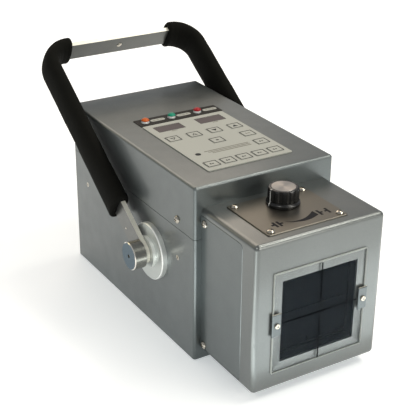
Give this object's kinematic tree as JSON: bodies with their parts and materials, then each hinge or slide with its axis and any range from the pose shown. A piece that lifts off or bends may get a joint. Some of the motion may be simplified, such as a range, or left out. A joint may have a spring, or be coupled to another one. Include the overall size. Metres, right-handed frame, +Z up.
{
  "type": "portable x-ray generator",
  "caption": "Portable x-ray generator: sheet-metal housing with keypad, light-beam collimator with aiming window and shutter knob, and a swinging carry handle with foam grips.",
  "frame": {"origin": "centre of the housing's underside, on the surface that the unit stands on", "axes": "+Z up, -Y out of the beam window, +X to the right seen from the front"},
  "size_m": [0.215, 0.4173, 0.2508],
  "materials": {
    "body_paint": "fine satin grey powder paint",
    "collimator_paint": "satin grey paint, slightly smoother",
    "nickel_screw": "bright nickel plate",
    "overlay_film": "printed polyester film, light warm grey",
    "strip_black": "black film",
    "display_tint": "dark tinted window",
    "chrome_bezel": "polished",
    "lens_orange": "moulded lens",
    "lens_green": "moulded lens",
    "lens_red": "moulded lens",
    "switch_plastic": "moulded",
    "board_green": "glass-fibre laminate",
    "tank_paint": "plain primer",
    "tube_glass": "clear glass",
    "copper_anode": "machined copper",
    "bright_steel": "turned steel",
    "core_iron": "laminated core",
    "connector_black": "moulded black",
    "connector_nickel": "nickel plate",
    "bar_paint": "satin grey paint on flat aluminium bar",
    "foam": "closed-cell black foam, matt",
    "boss_aluminium": "turned, satin",
    "cap_nickel": "turned, nickel plate",
    "inner_sheet": "mill finish sheet",
    "window_acrylic": "dark clear acrylic",
    "clip_paint": "satin grey paint",
    "plate_aluminium": "brushed, champagne tint",
    "knob_black": "satin black",
    "cap_aluminium": "spun finish",
    "lead_sheet": "rolled lead",
    "mirror_glass": "front-surface mirror",
    "lamp_glass": "halogen bulb on a base"
  },
  "bodies": {
    "housing": {"lower_tray": "body_paint", "upper_cover": "body_paint", "collimator_cover": "collimator_paint", "collimator_side_panel": "body_paint", "pan_head_screws": "nickel_screw", "countersunk_screws": "nickel_screw", "clip_screws": "nickel_screw", "keypad_overlay": "overlay_film", "indicator_strip": "strip_black", "display_windows": "display_tint", "led_bezels": "chrome_bezel", "led_lens_orange": "lens_orange", "led_lens_green": "lens_green", "led_lens_red": "lens_red", "key_switches": "switch_plastic", "control_board": "board_green", "inverter_board": "board_green", "tube_tank": "tank_paint", "tank_lid": "tank_paint", "tube_envelope": "tube_glass", "tube_anode": "copper_anode", "tube_cathode": "bright_steel", "hv_transformer": "core_iron", "mains_inlet": "connector_black", "power_switch": "connector_black", "hand_switch_socket": "connector_nickel", "pivot_boss_left": "boss_aluminium", "pivot_boss_right": "boss_aluminium", "pivot_caps": "cap_nickel", "pivot_bolts": "bright_steel", "collimator_base": "inner_sheet", "window_plate": "window_acrylic", "window_clips": "clip_paint", "knob_plate": "plate_aluminium", "shutter_frame": "inner_sheet", "mirror": "mirror_glass", "lamp": "lamp_glass"},
    "handle": {"handle_bar": "bar_paint", "foam_grip_left": "foam", "foam_grip_right": "foam"},
    "knob": {"knob_body": "knob_black", "knob_cap": "cap_aluminium", "knob_shaft": "bright_steel"},
    "leaf_left": {"shutter_left": "lead_sheet"},
    "leaf_right": {"shutter_right": "lead_sheet"},
    "leaf_top": {"shutter_top": "lead_sheet"},
    "leaf_bottom": {"shutter_bottom": "lead_sheet"},
    "rocker": {"power_rocker": "connector_black"},
    "cap_key_down_left": {"key_down_left": "overlay_film"},
    "cap_key_up_left": {"key_up_left": "overlay_film"},
    "cap_key_down_right": {"key_down_right": "overlay_film"},
    "cap_key_up_right": {"key_up_right": "overlay_film"},
    "cap_key_centre": {"key_centre": "overlay_film"},
    "cap_key_right_upper": {"key_right_upper": "overlay_film"},
    "cap_key_right_lower": {"key_right_lower": "overlay_film"},
    "cap_key_row_1": {"key_row_1": "overlay_film"},
    "cap_key_row_2": {"key_row_2": "overlay_film"},
    "cap_key_row_3": {"key_row_3": "overlay_film"},
    "cap_key_row_4": {"key_row_4": "overlay_film"},
    "cap_key_row_5": {"key_row_5": "overlay_film"}
  },
  "joints": [
    {"name": "handle_swing", "type": "hinge", "parent": "housing", "child": "handle", "pos_m": [0, -0.05, 0.087], "axis": [1, 0, 0], "range_deg": [-45, 158]},
    {"name": "knob_turn", "type": "hinge", "parent": "housing", "child": "knob", "pos_m": [-0.0015, -0.1635, 0.17], "axis": [0, 0, 1], "range_deg": [0, 160]},
    {"name": "leaf_left_slide", "type": "slide", "parent": "housing", "child": "leaf_left", "axis": [-1, 0, 0], "range_m": [0, 0.0307]},
    {"name": "leaf_right_slide", "type": "slide", "parent": "housing", "child": "leaf_right", "axis": [1, 0, 0], "range_m": [0, 0.0307]},
    {"name": "leaf_top_slide", "type": "slide", "parent": "housing", "child": "leaf_top", "axis": [0, 0, 1], "range_m": [0, 0.0307]},
    {"name": "leaf_bottom_slide", "type": "slide", "parent": "housing", "child": "leaf_bottom", "axis": [0, 0, -1], "range_m": [0, 0.0307]},
    {"name": "power_rock", "type": "hinge", "parent": "housing", "child": "rocker", "pos_m": [0.002, 0.1305, 0.04], "axis": [1, 0, 0], "range_deg": [-16, 0]},
    {"name": "key_down_left_press", "type": "slide", "parent": "housing", "child": "cap_key_down_left", "axis": [0, 0, -1], "range_m": [0, 0.0004], "stiffness_N_per_m": 2000, "springref_m": -0.0003},
    {"name": "key_up_left_press", "type": "slide", "parent": "housing", "child": "cap_key_up_left", "axis": [0, 0, -1], "range_m": [0, 0.0004], "stiffness_N_per_m": 2000, "springref_m": -0.0003},
    {"name": "key_down_right_press", "type": "slide", "parent": "housing", "child": "cap_key_down_right", "axis": [0, 0, -1], "range_m": [0, 0.0004], "stiffness_N_per_m": 2000, "springref_m": -0.0003},
    {"name": "key_up_right_press", "type": "slide", "parent": "housing", "child": "cap_key_up_right", "axis": [0, 0, -1], "range_m": [0, 0.0004], "stiffness_N_per_m": 2000, "springref_m": -0.0003},
    {"name": "key_centre_press", "type": "slide", "parent": "housing", "child": "cap_key_centre", "axis": [0, 0, -1], "range_m": [0, 0.0004], "stiffness_N_per_m": 2000, "springref_m": -0.0003},
    {"name": "key_right_upper_press", "type": "slide", "parent": "housing", "child": "cap_key_right_upper", "axis": [0, 0, -1], "range_m": [0, 0.0004], "stiffness_N_per_m": 2000, "springref_m": -0.0003},
    {"name": "key_right_lower_press", "type": "slide", "parent": "housing", "child": "cap_key_right_lower", "axis": [0, 0, -1], "range_m": [0, 0.0004], "stiffness_N_per_m": 2000, "springref_m": -0.0003},
    {"name": "key_row_1_press", "type": "slide", "parent": "housing", "child": "cap_key_row_1", "axis": [0, 0, -1], "range_m": [0, 0.0004], "stiffness_N_per_m": 2000, "springref_m": -0.0003},
    {"name": "key_row_2_press", "type": "slide", "parent": "housing", "child": "cap_key_row_2", "axis": [0, 0, -1], "range_m": [0, 0.0004], "stiffness_N_per_m": 2000, "springref_m": -0.0003},
    {"name": "key_row_3_press", "type": "slide", "parent": "housing", "child": "cap_key_row_3", "axis": [0, 0, -1], "range_m": [0, 0.0004], "stiffness_N_per_m": 2000, "springref_m": -0.0003},
    {"name": "key_row_4_press", "type": "slide", "parent": "housing", "child": "cap_key_row_4", "axis": [0, 0, -1], "range_m": [0, 0.0004], "stiffness_N_per_m": 2000, "springref_m": -0.0003},
    {"name": "key_row_5_press", "type": "slide", "parent": "housing", "child": "cap_key_row_5", "axis": [0, 0, -1], "range_m": [0, 0.0004], "stiffness_N_per_m": 2000, "springref_m": -0.0003}
  ],
  "couplings": [
    {"joint": "leaf_left_slide", "follows": "leaf_right_slide", "ratio": 1},
    {"joint": "leaf_top_slide", "follows": "leaf_right_slide", "ratio": 1},
    {"joint": "leaf_bottom_slide", "follows": "leaf_right_slide", "ratio": 1},
    {"joint": "knob_turn", "follows": "leaf_right_slide", "rad_per_m": 90.909}
  ]
}
